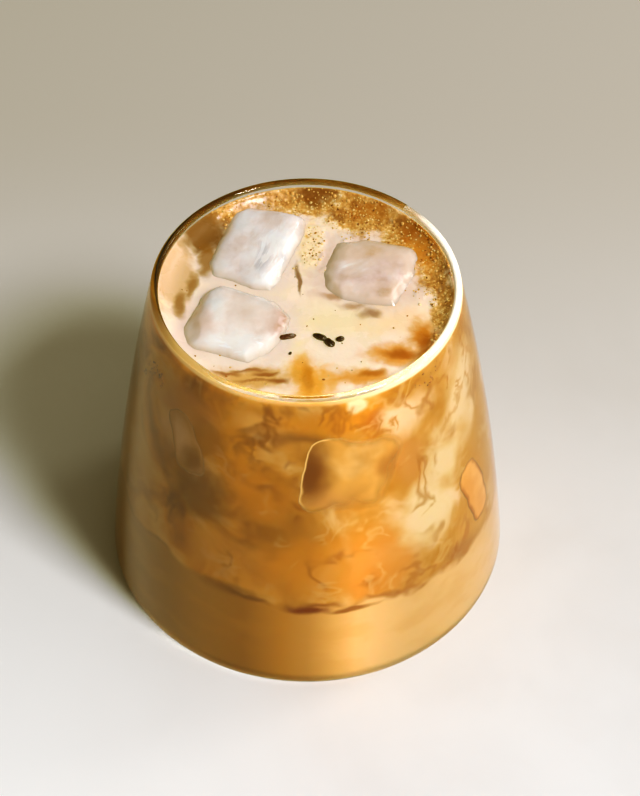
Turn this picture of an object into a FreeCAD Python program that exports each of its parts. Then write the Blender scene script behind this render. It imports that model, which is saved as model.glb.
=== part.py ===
import FreeCAD, Part
import math
import os
import Sketcher

# An iced masala chai in a clear stemless tumbler that is wide at the foot and narrows to the rim.
# The axis of the glass is +Z, and the origin is the middle of the foot, where it stands.

# Driving dimensions, in millimetres and degrees.
SIZES = {
    "foot_diameter": 90.0,  # across the outside of the wall where it meets the table line
    "rim_diameter": 65.0,  # across the outside of the wall at the top
    "glass_height": 82.0,
    "wall_thickness": 1.7,
    "wall_curve": 600.0,  # radius of the slight outward swell of the wall
    "floor_thickness": 3.2,
    "heel_radius": 3.5,  # outside corner between foot and wall
    "corner_radius": 5.0,  # inside corner between floor and wall
    "rim_rounding": 0.8,  # fire-polished edge, a little under half the wall
    "fill_gap": 4.4,  # from the surface of the drink up to the rim
    "meniscus_rise": 1.3,  # how far the drink climbs the wall
    "meniscus_curve": 3.0,  # radius of that climb
    # The floating ice lies as a raft of three, in a square frame turned about the axis of the glass.
    # All its lengths grow and shrink with the mouth of the glass, which the raft fills.
    "ice_mouth": 61.6,  # inside width of the mouth that the raft's lengths are for
    "raft_turn": -21.0,  # from the axes of the glass, seen from above
    "raft_left": -24.4,  # left side of the back left cube, across the raft from its middle
    "raft_back": 22.0,  # back of the back left cube, along the raft from its middle
    "raft_front": -22.8,  # front of the front left cube
    "front_step": 3.9,  # how far the front left cube's side lies right of the back left one's
    "gap_along": 1.0,  # between the two left cubes
    "gap_across": 4.7,  # between the back left cube and the right one
    "right_along": 11.7,  # middle of the right cube, along the raft
}

# A rounding that meets another across a wall takes at most this share of its thickness.
LIP_SHARE = 0.48

# Ice cubes that break the surface. "sunk" is how deep a cube's centre lies below the surface of the
# drink, "yaw" turns it about the vertical from the raft, and "pitch" and "roll" tip it in the drink.
# The front left cube has no depth of its own: it takes the length that the back left one leaves.
ICE_SIZES = {
    "ice_back_left": {
        "width": 18.5, "depth": 24.8, "tall": 20.0, "round": 5.0, "draft": 2.0,
        "sunk": 8.3, "yaw": 0.0, "pitch": -6.0, "roll": 3.0,
    },
    "ice_front_left": {
        "width": 20.5, "tall": 21.0, "round": 5.0, "draft": 2.0,
        "sunk": 8.5, "yaw": -1.0, "pitch": 3.0, "roll": 2.0,
    },
    "ice_right": {
        "width": 21.5, "depth": 21.4, "tall": 20.0, "round": 6.0, "draft": 2.0,
        "sunk": 8.5, "yaw": 5.0, "pitch": -2.0, "roll": -2.0,
    },
}

SHEET = "Sizes"


def make_sheet(doc):
    """A spreadsheet with one named cell for each driving dimension."""
    cells = dict(SIZES)
    for cube, sizes in ICE_SIZES.items():
        for name, value in sizes.items():
            cells[f"{cube}_{name}"] = value
    sheet = doc.addObject("Spreadsheet::Sheet", SHEET)
    for row, (alias, value) in enumerate(cells.items(), start=1):
        sheet.set(f"A{row}", alias)
        sheet.set(f"B{row}", str(value))
        sheet.setAlias(f"B{row}", alias)
    doc.recompute()
    return sheet


def cell(alias):
    return f"{SHEET}.{alias}"


def origin_plane(body, role):
    return next(f for f in body.Origin.OriginFeatures if f.Role == role)


def new_sketch(body, name, role):
    sketch = body.newObject("Sketcher::SketchObject", name)
    sketch.AttachmentSupport = (origin_plane(body, role), [""])
    sketch.MapMode = "FlatFace"
    return sketch


def bind(sketch, kind, *where, to):
    """Adds a dimension to a sketch, worked out by an expression on the sheet's cells."""
    index = sketch.addConstraint(Sketcher.Constraint(kind, *where))
    sketch.setExpression(f"Constraints[{index}]", to)
    return index


# Ends of a sketch element, and the sketch's own axes and origin.
START, END, CENTRE = 1, 2, 3
AXIS_ACROSS, AXIS_UP = -1, -2
ORIGIN = (AXIS_ACROSS, START)


def wall_arc_centre(sizes):
    """Where the middle of the wall's curve lies, as a first place for the sketch's solver."""
    foot, rim, tall = sizes["foot_diameter"] / 2, sizes["rim_diameter"] / 2, sizes["glass_height"]
    chord = math.hypot(foot - rim, tall)
    back = math.sqrt(sizes["wall_curve"] ** 2 - (chord / 2) ** 2)
    return (foot + rim) / 2 - back * tall / chord, tall / 2 - back * (foot - rim) / chord


def arc_between(centre, start, end):
    """An arc of a circle about centre, run anticlockwise from the direction of start to that of end."""
    radius = math.dist(centre, start)
    angles = [math.atan2(p[1] - centre[1], p[0] - centre[0]) for p in (start, end)]
    circle = Part.Circle(FreeCAD.Vector(*centre, 0), FreeCAD.Vector(0, 0, 1), radius)
    return Part.ArcOfCircle(circle, *angles)


def on_inner_wall(sizes, height):
    """The point of the inner wall's curve at a height."""
    centre = wall_arc_centre(sizes)
    radius = sizes["wall_curve"] - sizes["wall_thickness"]
    return centre[0] + math.sqrt(radius**2 - (height - centre[1]) ** 2), height


def line(start, end):
    return Part.LineSegment(FreeCAD.Vector(*start, 0), FreeCAD.Vector(*end, 0))


def add_outer_wall(sketch, sizes, helper):
    """The outer wall from the foot to the rim, fixed by the foot, the rim, the height and its curve."""
    foot, rim = (sizes["foot_diameter"] / 2, 0), (sizes["rim_diameter"] / 2, sizes["glass_height"])
    wall = sketch.addGeometry(arc_between(wall_arc_centre(sizes), foot, rim), helper)
    sketch.addConstraint(Sketcher.Constraint("PointOnObject", wall, START, AXIS_ACROSS))
    bind(sketch, "DistanceX", *ORIGIN, wall, START, foot[0], to=cell("foot_diameter") + " / 2")
    bind(sketch, "DistanceX", *ORIGIN, wall, END, rim[0], to=cell("rim_diameter") + " / 2")
    bind(sketch, "DistanceY", *ORIGIN, wall, END, rim[1], to=cell("glass_height"))
    bind(sketch, "Radius", wall, sizes["wall_curve"], to=cell("wall_curve"))
    return wall


def add_inner_wall(sketch, sizes, outer, top):
    """The inner wall, one wall thickness inside the outer one, from the floor up to a height."""
    start, end = on_inner_wall(sizes, sizes["floor_thickness"]), on_inner_wall(sizes, top)
    wall = sketch.addGeometry(arc_between(wall_arc_centre(sizes), start, end))
    sketch.addConstraint(Sketcher.Constraint("Coincident", outer, CENTRE, wall, CENTRE))
    radius = sizes["wall_curve"] - sizes["wall_thickness"]
    bind(sketch, "Radius", wall, radius, to=f"{cell('wall_curve')} - {cell('wall_thickness')}")
    bind(sketch, "DistanceY", *ORIGIN, wall, START, start[1], to=cell("floor_thickness"))
    return wall


def join(sketch, first, first_end, second, second_end):
    sketch.addConstraint(Sketcher.Constraint("Coincident", first, first_end, second, second_end))


def level(sketch, element):
    sketch.addConstraint(Sketcher.Constraint("Horizontal", element))


def close_on_axis(sketch, lower, lower_end, upper, upper_end, ends):
    """The line up the middle of a turned profile, between two elements that end there."""
    axis = sketch.addGeometry(line(*ends))
    join(sketch, lower, lower_end, axis, START)
    join(sketch, upper, upper_end, axis, END)
    for end in (START, END):
        sketch.addConstraint(Sketcher.Constraint("PointOnObject", axis, end, AXIS_UP))


def turn(body, sketch, name):
    """Turns a closed profile once round the upright axis."""
    turned = body.newObject("PartDesign::Revolution", name)
    turned.Profile = sketch
    turned.ReferenceAxis = (sketch, ["V_Axis"])
    turned.Angle = 360
    return turned


def rings_at(shape, height):
    """Names of the round edges that lie level at a height."""
    names = []
    for number, edge in enumerate(shape.Edges, start=1):
        if isinstance(edge.Curve, Part.Circle) and abs(edge.Curve.Center.z - height) < 1e-4:
            names.append(f"Edge{number}")
    return names


def add_fillet(body, base, edges, name, radius):
    fillet = body.newObject("PartDesign::Fillet", name)
    fillet.Base = (base, edges)
    fillet.setExpression("Radius", radius)
    return fillet


def make_tumbler(doc, sizes):
    """The glass: one turned wall and floor, with a rounded heel, inside corner and rim."""
    body = doc.addObject("PartDesign::Body", "Tumbler")
    body.Label = "tumbler"
    sketch = new_sketch(body, "TumblerProfile", "XZ_Plane")
    tall, floor = sizes["glass_height"], sizes["floor_thickness"]
    foot, rim = sizes["foot_diameter"] / 2, sizes["rim_diameter"] / 2
    outer = add_outer_wall(sketch, sizes, helper=False)
    inner = add_inner_wall(sketch, sizes, outer, tall)
    edge = sketch.addGeometry(line((rim, tall), on_inner_wall(sizes, tall)))
    join(sketch, outer, END, edge, START)
    join(sketch, inner, END, edge, END)
    level(sketch, edge)
    bed = sketch.addGeometry(line((0, floor), on_inner_wall(sizes, floor)))
    join(sketch, inner, START, bed, END)
    level(sketch, bed)
    under = sketch.addGeometry(line((0, 0), (foot, 0)))
    join(sketch, outer, START, under, END)
    close_on_axis(sketch, under, START, bed, START, ((0, 0), (0, floor)))
    level(sketch, under)
    turned = turn(body, sketch, "TumblerTurned")
    doc.recompute()

    heel = rings_at(turned.Shape, 0)
    add_fillet(body, turned, heel, "Heel", cell("heel_radius"))
    doc.recompute()
    corner = rings_at(body.Tip.Shape, floor)
    add_fillet(body, body.Tip, corner, "InsideCorner", cell("corner_radius"))
    doc.recompute()
    lip = rings_at(body.Tip.Shape, tall)
    rounding = f"min({cell('rim_rounding')}; {LIP_SHARE} * {cell('wall_thickness')})"
    add_fillet(body, body.Tip, lip, "Rim", rounding)
    doc.recompute()
    return body


def make_fill(doc, sizes):
    """All that the glass holds up to the surface of the drink, ice included."""
    body = doc.addObject("PartDesign::Body", "Fill")
    body.Label = "fill"
    sketch = new_sketch(body, "FillProfile", "XZ_Plane")
    floor = sizes["floor_thickness"]
    surface = sizes["glass_height"] - sizes["fill_gap"]
    rise, curve = sizes["meniscus_rise"], sizes["meniscus_curve"]
    outer = add_outer_wall(sketch, sizes, helper=True)
    inner = add_inner_wall(sketch, sizes, outer, surface + rise)
    bed = sketch.addGeometry(line((0, floor), on_inner_wall(sizes, floor)))
    join(sketch, inner, START, bed, END)
    level(sketch, bed)
    top = on_inner_wall(sizes, surface + rise)
    flat_end = (top[0] - math.sqrt(curve**2 - (curve - rise) ** 2), surface)
    climb = sketch.addGeometry(arc_between((flat_end[0], surface + curve), flat_end, top))
    flat = sketch.addGeometry(line((0, surface), flat_end))
    join(sketch, climb, END, inner, END)
    join(sketch, flat, END, climb, START)
    sketch.addConstraint(Sketcher.Constraint("Vertical", climb, START, climb, CENTRE))
    level(sketch, flat)
    surface_height = f"{cell('glass_height')} - {cell('fill_gap')}"
    bind(sketch, "Radius", climb, curve, to=cell("meniscus_curve"))
    bind(sketch, "DistanceY", *ORIGIN, flat, END, surface, to=surface_height)
    bind(sketch, "DistanceY", climb, START, climb, END, rise, to=cell("meniscus_rise"))
    close_on_axis(sketch, bed, START, flat, START, ((0, floor), (0, surface)))
    turned = turn(body, sketch, "FillTurned")
    doc.recompute()
    corner = rings_at(turned.Shape, floor)
    add_fillet(body, turned, corner, "FillCorner", cell("corner_radius"))
    doc.recompute()
    return body


def ice_layout():
    """Each cube's depth and the place of its middle across and along the raft, as expressions."""
    left, back, front = cell("raft_left"), cell("raft_back"), cell("raft_front")
    back_width, back_depth = cell("ice_back_left_width"), cell("ice_back_left_depth")
    front_depth = f"({back} - {back_depth} - {cell('gap_along')} - {front})"
    front_left = f"{left} + {cell('front_step')}"
    right_left = f"{left} + {back_width} + {cell('gap_across')}"
    return {
        "ice_back_left": (back_depth, f"{left} + {back_width} / 2", f"{back} - {back_depth} / 2"),
        "ice_front_left": (
            front_depth, f"{front_left} + {cell('ice_front_left_width')} / 2", f"{front} + {front_depth} / 2",
        ),
        "ice_right": (
            cell("ice_right_depth"), f"{right_left} + {cell('ice_right_width')} / 2", cell("right_along"),
        ),
    }


def to_mouth(formula):
    """A length of the raft, scaled to the mouth of the glass."""
    mouth = f"({cell('rim_diameter')} - 2 * {cell('wall_thickness')})"
    return f"({formula}) * {mouth} / {cell('ice_mouth')}"


def make_ice(doc, cube, sizes, layout):
    """One ice cube: a drafted block with melted edges, tipped where it floats."""
    body = doc.addObject("PartDesign::Body", "".join(word.title() for word in cube.split("_")))
    body.Label = cube
    depth, across, along = layout

    def own(name):
        return cell(f"{cube}_{name}")

    sketch = new_sketch(body, f"{body.Name}Outline", "XY_Plane")
    half = sizes["width"] / 2
    corners = [(-half, -half), (half, -half), (half, half), (-half, half)]
    sides = [sketch.addGeometry(line(corners[k], corners[(k + 1) % 4])) for k in range(4)]
    for k, side in enumerate(sides):
        join(sketch, side, END, sides[(k + 1) % 4], START)
        sketch.addConstraint(Sketcher.Constraint("Vertical" if k % 2 else "Horizontal", side))
    bind(sketch, "DistanceX", sides[0], START, sides[0], END, 2 * half, to=to_mouth(own("width")))
    bind(sketch, "DistanceY", sides[1], START, sides[1], END, 2 * half, to=to_mouth(depth))
    middle = Sketcher.Constraint("Symmetric", sides[0], START, sides[1], END, *ORIGIN)
    sketch.addConstraint(middle)
    block = body.newObject("PartDesign::Pad", f"{body.Name}Block")
    block.Profile = sketch
    block.Midplane = True
    block.setExpression("Length", to_mouth(own("tall")))
    block.setExpression("TaperAngle", own("draft"))
    doc.recompute()
    edges = [f"Edge{number}" for number in range(1, len(block.Shape.Edges) + 1)]
    add_fillet(body, block, edges, f"{body.Name}Melt", to_mouth(own("round")))
    height = f"{cell('glass_height')} - {cell('fill_gap')} - {to_mouth(own('sunk'))}"
    raft = f"placement(vector(0; 0; 0); rotation({cell('raft_turn')}; 0; 0))"
    place = f"vector({to_mouth(across)}; {to_mouth(along)}; {height})"
    tilt = f"rotation({own('yaw')}; {own('pitch')}; {own('roll')})"
    body.setExpression("Placement", f"{raft} * placement({place}; {tilt})")
    doc.recompute()
    return body


def make_chai(doc, fill, cubes):
    """The drink: the fill with a hollow where each floating ice cube sits."""
    ice = doc.addObject("Part::MultiFuse", "FloatingIce")
    ice.Shapes = cubes
    chai = doc.addObject("Part::Cut", "Chai")
    chai.Base = fill
    chai.Tool = ice
    chai.Label = "chai"
    doc.recompute()
    return chai


def check_and_write(doc, parts):
    """Stops if anything failed to build, then writes one STEP file for each piece."""
    for thing in doc.Objects:
        if "Invalid" in thing.State or "Error" in thing.State:
            raise RuntimeError(f"{thing.Label} did not build: {thing.State}")
    for part in parts:
        if part.Shape.isNull() or not part.Shape.isValid() or not part.Shape.Solids:
            raise RuntimeError(f"{part.Label} has no valid solid")
    os.makedirs("parts", exist_ok=True)
    for part in parts:
        part.Shape.exportStep(f"parts/{part.Label}.step")
        litres = part.Shape.Volume / 1e6
        print(f"{part.Label}: {len(part.Shape.Solids)} solid, {litres:.4f} l")


doc = FreeCAD.newDocument("IcedChai")
make_sheet(doc)
tumbler = make_tumbler(doc, SIZES)
fill = make_fill(doc, SIZES)
layout = ice_layout()
cubes = [make_ice(doc, cube, sizes, layout[cube]) for cube, sizes in ICE_SIZES.items()]
chai = make_chai(doc, fill, cubes)
check_and_write(doc, [tumbler, chai, *cubes])
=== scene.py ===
"""An iced masala chai in a stemless tumbler: glass, marbled drink, ice, froth and spice."""

import random
from math import asin, atan2, cos, degrees, exp, hypot, pi, radians, sin, sqrt

import bmesh
import bpy
from mathutils import Euler, Matrix, Vector, noise
from mathutils.bvhtree import BVHTree


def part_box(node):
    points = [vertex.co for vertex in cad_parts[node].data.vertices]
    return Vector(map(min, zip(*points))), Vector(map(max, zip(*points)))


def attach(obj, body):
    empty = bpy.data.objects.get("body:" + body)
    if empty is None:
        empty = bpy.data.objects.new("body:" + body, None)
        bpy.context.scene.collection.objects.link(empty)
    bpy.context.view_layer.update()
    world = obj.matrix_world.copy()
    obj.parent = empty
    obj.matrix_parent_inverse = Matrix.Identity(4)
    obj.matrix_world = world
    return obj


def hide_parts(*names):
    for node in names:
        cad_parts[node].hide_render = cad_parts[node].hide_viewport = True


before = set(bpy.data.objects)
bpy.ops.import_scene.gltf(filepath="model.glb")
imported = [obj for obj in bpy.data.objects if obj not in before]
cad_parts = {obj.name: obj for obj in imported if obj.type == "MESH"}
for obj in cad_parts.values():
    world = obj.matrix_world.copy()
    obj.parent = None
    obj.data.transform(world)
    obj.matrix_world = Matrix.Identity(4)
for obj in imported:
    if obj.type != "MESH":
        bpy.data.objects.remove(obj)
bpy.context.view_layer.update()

MM = 0.001  # a millimetre, in the frame's metres
SEED = 21

# ---- sizes, in millimetres

FOOT_RADIUS = 45  # of the outer wall carried down to the table
RIM_RADIUS = 32.5
TALL = 82
WALL = 1.7
WALL_CURVE = 600  # radius of the wall's slight swell
FLOOR = 3.2
HEEL = 3.5
CORNER = 5
LIP = 0.8
SURFACE = 77.6  # height of the drink's surface
RISE = 2.6  # how far the drink and its froth climb the wall
RISE_CURVE = 4.6
BITE = 0.3  # how far the drink reaches into the glass, so that no air shows between them
FOOT_BITE = 2.4  # and into its thick foot, where the drink's colour seems to reach down
FOOT_ROUND = 3.2  # of the drink's lower corner

CLING = 0.08  # how far the drink climbs the sides of the floating cubes
CLING_REACH = 0.8
FILM_DEPTH = 0.12  # of the pale film on the rim that paints a highlight there, under the glass's face
FILM_RUN = (12, 138)  # degrees round from the front
FILM_DROP = (80.6, 80.2, 79.8)  # heights of the film's points down the inner wall

TURNS = 300  # steps round the drink and the glass
FILM_TURNS = 120
SURFACE_RINGS = 78
CUBE_CELL = 0.38  # size of the floating cubes' faces
SUNK_CELL = 0.45
ICE_FAR = 9  # beyond this the drink's surface takes no notice of a cube


# ---- the tumbler's outline

def wall_centre():
    """The middle of the circle that the outer wall follows, in the plane of the profile."""
    chord = hypot(FOOT_RADIUS - RIM_RADIUS, TALL)
    back = sqrt(WALL_CURVE**2 - (chord / 2) ** 2)
    lean = (FOOT_RADIUS - RIM_RADIUS) / chord
    return (FOOT_RADIUS + RIM_RADIUS) / 2 - back * TALL / chord, TALL / 2 - back * lean


CENTRE = wall_centre()


def wall_radius(height, inset=0):
    """How far from the axis the wall lies at a height, measured in from its outer face."""
    return CENTRE[0] + sqrt((WALL_CURVE - inset) ** 2 - (height - CENTRE[1]) ** 2)


def arc(centre, radius, first, last, steps):
    """Points of an arc in the profile, with its ends, from one angle to another in degrees."""
    angles = [radians(first + (last - first) * k / steps) for k in range(steps + 1)]
    return [(centre[0] + radius * cos(a), centre[1] + radius * sin(a)) for a in angles]


def wall_run(low, high, inset, steps):
    """Points up the wall between two heights, without its ends."""
    heights = [low + (high - low) * k / steps for k in range(1, steps)]
    return [(wall_radius(z, inset), z) for z in heights]


def lean_at(height):
    """The direction from the wall's circle to the wall, in degrees."""
    return degrees(atan2(height - CENTRE[1], wall_radius(height) - CENTRE[0]))


def straight(start, end, steps):
    """Points along a straight stretch, without its ends."""
    return [(start[0] + (end[0] - start[0]) * k / steps, start[1] + (end[1] - start[1]) * k / steps)
            for k in range(1, steps)]


def tumbler_profile():
    heel = (wall_radius(HEEL, HEEL), HEEL)
    corner_height = FLOOR + CORNER
    corner = (wall_radius(corner_height, WALL + CORNER), corner_height)
    top = TALL - LIP
    outer_lip = (wall_radius(top, LIP), top)
    inner_lip = (wall_radius(top, WALL - LIP), top)
    points = [(0, 0)] + straight((0, 0), (heel[0], 0), 14)
    points += arc(heel, HEEL, -90, lean_at(HEEL), 10)
    points += wall_run(HEEL, top, 0, 46)
    points += arc(outer_lip, LIP, lean_at(top), 90, 7)
    points += arc(inner_lip, LIP, 90, 180 + lean_at(top), 7)
    points += list(reversed(wall_run(corner_height, top, WALL, 44)))
    points += list(reversed(arc(corner, CORNER, -90, lean_at(corner_height), 10)))
    points += straight((corner[0], FLOOR), (0, FLOOR), 14) + [(0, FLOOR)]
    return points


# ---- mesh helpers

def at(east, north, height):
    """A place given in millimetres, in the frame's metres."""
    return Vector((east, north, height)) * MM


def round_axis(reach, angle, height):
    """A place in millimetres at a distance from the axis, at an angle in radians from the east."""
    return Vector((reach * cos(angle), reach * sin(angle), height))


def spin_profile(bm, points, turns):
    """Turns a profile of (radius, height) points once round the upright axis."""
    verts = [bm.verts.new((r * MM, 0, z * MM)) for r, z in points]
    edges = [bm.edges.new(pair) for pair in zip(verts, verts[1:])]
    bmesh.ops.spin(bm, geom=verts + edges, cent=(0, 0, 0), axis=(0, 0, 1), angle=2 * pi,
                   steps=turns, use_merge=True)
    bmesh.ops.remove_doubles(bm, verts=bm.verts[:], dist=1e-7)
    bmesh.ops.recalc_face_normals(bm, faces=bm.faces[:])


def new_object(name, data):
    made = bpy.data.objects.new(name, data)
    bpy.context.scene.collection.objects.link(made)
    return made


def to_piece(bm, name, materials, smooth=True):
    """Makes an object of a finished bmesh, at the origin."""
    mesh = bpy.data.meshes.new(name)
    bm.to_mesh(mesh)
    bm.free()
    for material in materials:
        mesh.materials.append(material)
    mesh.shade_smooth() if smooth else mesh.shade_flat()
    return new_object(name, mesh)


def add_piece(piece, slot, *stands_for):
    """Joins a piece to the glass, and hides the record's parts that it shows; slot, the record's finish,
    is not used.
    """
    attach(piece, "root")
    if stands_for:
        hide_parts(*stands_for)
    return piece


# ---- shader helpers

def srgb(colour):
    """A colour as seen on a screen, of three numbers from 0 to 255, as the shaders want it."""
    shares = [value / 255 for value in colour]
    return (*(c / 12.92 if c <= 0.04045 else ((c + 0.055) / 1.055) ** 2.4 for c in shares), 1)


def dimmed(share):
    """A grey that lets through a share of the colour it multiplies."""
    return (share, share, share, 1)


class Tree:
    """Short calls that add nodes to a node tree and join them."""

    def __init__(self, node_tree):
        self.nodes = node_tree.nodes
        self.links = node_tree.links

    def set_input(self, socket, value):
        """Joins a socket or sets its value; a colour of three numbers is one as seen on a screen."""
        if isinstance(value, bpy.types.NodeSocket):
            self.links.new(value, socket)
        elif socket.type == "RGBA" and len(value) == 3:
            socket.default_value = srgb(value)
        elif value is not None:
            socket.default_value = value

    def fill(self, made, **inputs):
        """Sets or joins a node's inputs by name, with _ for each space."""
        for name, value in inputs.items():
            self.set_input(made.inputs[name.replace("_", " ")], value)
        return made

    def node(self, kind, settings=None, **inputs):
        made = self.nodes.new(kind)
        for name, value in (settings or {}).items():
            setattr(made, name, value)
        return self.fill(made, **inputs)

    def place(self):
        """Where a point of the surface lies, in millimetres in the object's own frame."""
        where = self.node("ShaderNodeTexCoord").outputs["Object"]
        return self.scale(where, 1 / MM)

    def work_out(self, kind, operation, first, second):
        made = self.node(kind, {"operation": operation})
        self.set_input(made.inputs[0], first)
        self.set_input(made.inputs[1], second)
        return made.outputs

    def vector(self, operation, first, second):
        return self.work_out("ShaderNodeVectorMath", operation, first, second)[0]

    def length(self, vector):
        return self.work_out("ShaderNodeVectorMath", "LENGTH", vector, None)["Value"]

    def scale(self, vector, factor):
        return self.node("ShaderNodeVectorMath", {"operation": "SCALE"}, Vector=vector,
                         Scale=factor).outputs[0]

    def math(self, operation, first, second=None):
        return self.work_out("ShaderNodeMath", operation, first, second)[0]

    def times(self, first, *others):
        for other in others:
            first = self.math("MULTIPLY", first, other)
        return first

    def plus(self, first, second):
        return self.math("ADD", first, second)

    def minus(self, first, second):
        return self.math("SUBTRACT", first, second)

    def part(self, vector, axis):
        return self.node("ShaderNodeSeparateXYZ", Vector=vector).outputs[axis]

    def noise(self, place, size, detail=3, roughness=0.5, twist=0, output="Fac"):
        """Cloudy noise whose lumps are about size across, in millimetres."""
        made = self.node("ShaderNodeTexNoise", Vector=place, Scale=1 / size, Detail=detail,
                         Roughness=roughness, Distortion=twist)
        return made.outputs[output]

    def cells(self, place, size, feature="F1", output="Distance"):
        made = self.node("ShaderNodeTexVoronoi", {"feature": feature}, Vector=place, Scale=1 / size)
        return made.outputs[output]

    def between(self, value, low, high, out_low=0, out_high=1, smooth=True):
        """Maps a range of a value to another range, held at its ends."""
        made = self.node("ShaderNodeMapRange",
                         {"interpolation_type": "SMOOTHSTEP" if smooth else "LINEAR"})
        for socket, given in zip(made.inputs[:5], (value, low, high, out_low, out_high)):
            self.set_input(socket, given)
        return made.outputs[0]

    def mix(self, factor, first, second, blend="MIX"):
        made = self.node("ShaderNodeMix", {"data_type": "RGBA", "blend_type": blend})
        self.set_input(made.inputs[0], factor)
        self.set_input(made.inputs[6], first)
        self.set_input(made.inputs[7], second)
        return made.outputs[2]

    def ramp(self, value, stops):
        """Colours along a value, from (position, colour) stops."""
        made = self.node("ShaderNodeValToRGB", Fac=value)
        points = made.color_ramp.elements
        while len(points) < len(stops):
            points.new(0.5)
        for point, (position, colour) in zip(points, stops):
            point.position = position
            point.color = srgb(colour) if len(colour) == 3 else colour
        return made.outputs["Color"]

    def stirred(self, place, reach, size, detail=2):
        """A place pushed about by noise, so that what is drawn there comes out wavy."""
        push = self.noise(place, size, detail, output="Color")
        centred = self.vector("ADD", push, (-0.5, -0.5, -0.5))
        return self.vector("ADD", place, self.scale(centred, reach))

    def swing(self, value, reach):
        """Noise moved to swing about 0 by half of reach each way."""
        return self.times(self.minus(value, 0.5), reach)

    def attribute(self, name):
        return self.node("ShaderNodeAttribute", {"attribute_name": name}).outputs["Fac"]

    def bump(self, height, distance, strength=1, normal=None):
        made = self.node("ShaderNodeBump", Height=height, Strength=strength, Distance=distance,
                         Normal=normal)
        return made.outputs[0]

    def group(self, shared, **inputs):
        made = self.node("ShaderNodeGroup", {"node_tree": shared}, **inputs)
        return made.outputs[0]


def new_group(name, inputs, output, output_kind="NodeSocketFloat"):
    """A shared effect: returns its group and the tree that fills it, with its ends."""
    shared = bpy.data.node_groups.new(name, "ShaderNodeTree")
    for label, value in inputs.items():
        kind = "NodeSocketVector" if isinstance(value, tuple) else "NodeSocketFloat"
        socket = shared.interface.new_socket(label, in_out="INPUT", socket_type=kind)
        socket.default_value = value
    shared.interface.new_socket(output, in_out="OUTPUT", socket_type=output_kind)
    tree = Tree(shared)
    return shared, tree, tree.node("NodeGroupInput").outputs, tree.node("NodeGroupOutput").inputs[0]


def soft_patch_group():
    """A blot: 1 inside an ellipsoid about a centre, fading to 0 past its edge, which Torn roughens."""
    shared, tree, given, out = new_group("soft patch", {
        "Place": (0, 0, 0), "Centre": (0, 0, 0), "Size": (1, 1, 1), "Edge": 0.5, "Torn": 0}, "Mask")
    away = tree.vector("SUBTRACT", given["Place"], given["Centre"])
    far = tree.length(tree.vector("DIVIDE", away, given["Size"]))
    outer, inner = tree.plus(1, given["Edge"]), tree.minus(1, given["Edge"])
    tree.set_input(out, tree.between(tree.plus(far, given["Torn"]), outer, inner))
    return shared


def veins_group():
    """Thin wandering threads where two swirls meet: 1 on a thread, 0 off it."""
    shared, tree, given, out = new_group("veins", {
        "Place": (0, 0, 0), "Scale": 0.08, "Width": 0.03}, "Mask")
    cloud = tree.node("ShaderNodeTexNoise", Vector=given["Place"], Scale=given["Scale"], Detail=3,
                      Roughness=0.55, Distortion=0.6).outputs["Fac"]
    off = tree.math("ABSOLUTE", tree.minus(cloud, 0.5))
    tree.set_input(out, tree.between(off, given["Width"], 0))
    return shared


PALE_FROTH = (1, 14, 78)  # where the froth between the cubes is nearly white, and how far it reaches
PALE_FROTH_SIZE = (6, 9, 9)
PALE_FROTH_LIFT = 0.75


def froth_group():
    """The mottled colour of froth: brown between its cells, gold to pale on them; Lift pales it."""
    shared, tree, given, out = new_group("froth", {
        "Place": (0, 0, 0), "Lift": 0}, "Colour", "NodeSocketColor")
    grain = tree.cells(tree.stirred(given["Place"], 0.5, 1), 0.8)
    fine = tree.noise(given["Place"], 0.9, 2, 0.6)
    mottle = tree.noise(given["Place"], 4.2, 4, 0.6)
    pale = tree.group(SOFT_PATCH, Place=given["Place"], Centre=PALE_FROTH, Size=PALE_FROTH_SIZE, Edge=0.5)
    shade = tree.plus(tree.times(mottle, 2), tree.times(fine, 0.7))
    shade = tree.plus(tree.minus(shade, tree.times(grain, 0.5)), given["Lift"])
    shade = tree.plus(shade, tree.times(pale, PALE_FROTH_LIFT))
    tree.set_input(out, tree.ramp(tree.minus(shade, 0.6), [
        (0.1, (150, 96, 42)), (0.3, (176, 120, 60)), (0.5, (198, 146, 86)),
        (0.68, (216, 174, 120)), (0.9, (240, 216, 178))]))
    return shared


def new_material(name):
    """A material with its tree and its Principled shader."""
    material = bpy.data.materials.new(name)
    material.use_nodes = True
    tree = Tree(material.node_tree)
    return material, tree, material.node_tree.nodes["Principled BSDF"]


def let_lamps_through(material, tree, shader, tint):
    """Lets light from the lamps pass straight through clear stuff, so that what is behind it is lit."""
    out = material.node_tree.nodes["Material Output"]
    clear = tree.node("ShaderNodeBsdfTransparent", Color=tint)
    lamp = tree.node("ShaderNodeLightPath").outputs["Is Shadow Ray"]
    both = tree.node("ShaderNodeMixShader")
    tree.set_input(both.inputs[0], lamp)
    tree.set_input(both.inputs[1], shader.outputs[0])
    tree.set_input(both.inputs[2], clear.outputs[0])
    tree.set_input(out.inputs["Surface"], both.outputs[0])


SOFT_PATCH = soft_patch_group()
VEINS = veins_group()
FROTH_COLOUR = froth_group()


# ---- colours

CREAM = (255, 228, 180)
PALE_CREAM = (255, 224, 174)
PINK_CREAM = (253, 214, 168)
SURFACE_CREAM = (238, 219, 197)
SURFACE_PALE = (243, 226, 202)
SURFACE_BUTTER = (236, 218, 180)
ORANGE_TAN = (226, 166, 92)
CARAMEL = (214, 150, 64)
AMBER = (208, 138, 34)
ORANGE = (224, 148, 42)
TEA = (178, 112, 30)
DARK_TEA = (130, 78, 16)


# ---- materials

GLASS_COLOUR = (0.985, 0.992, 0.988, 1)
GLASS_SHADOW = (0.95, 0.96, 0.955, 1)  # what lamps shine through glass as
FILM_SHADOW = (0.95, 0.95, 0.94, 1)


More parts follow.
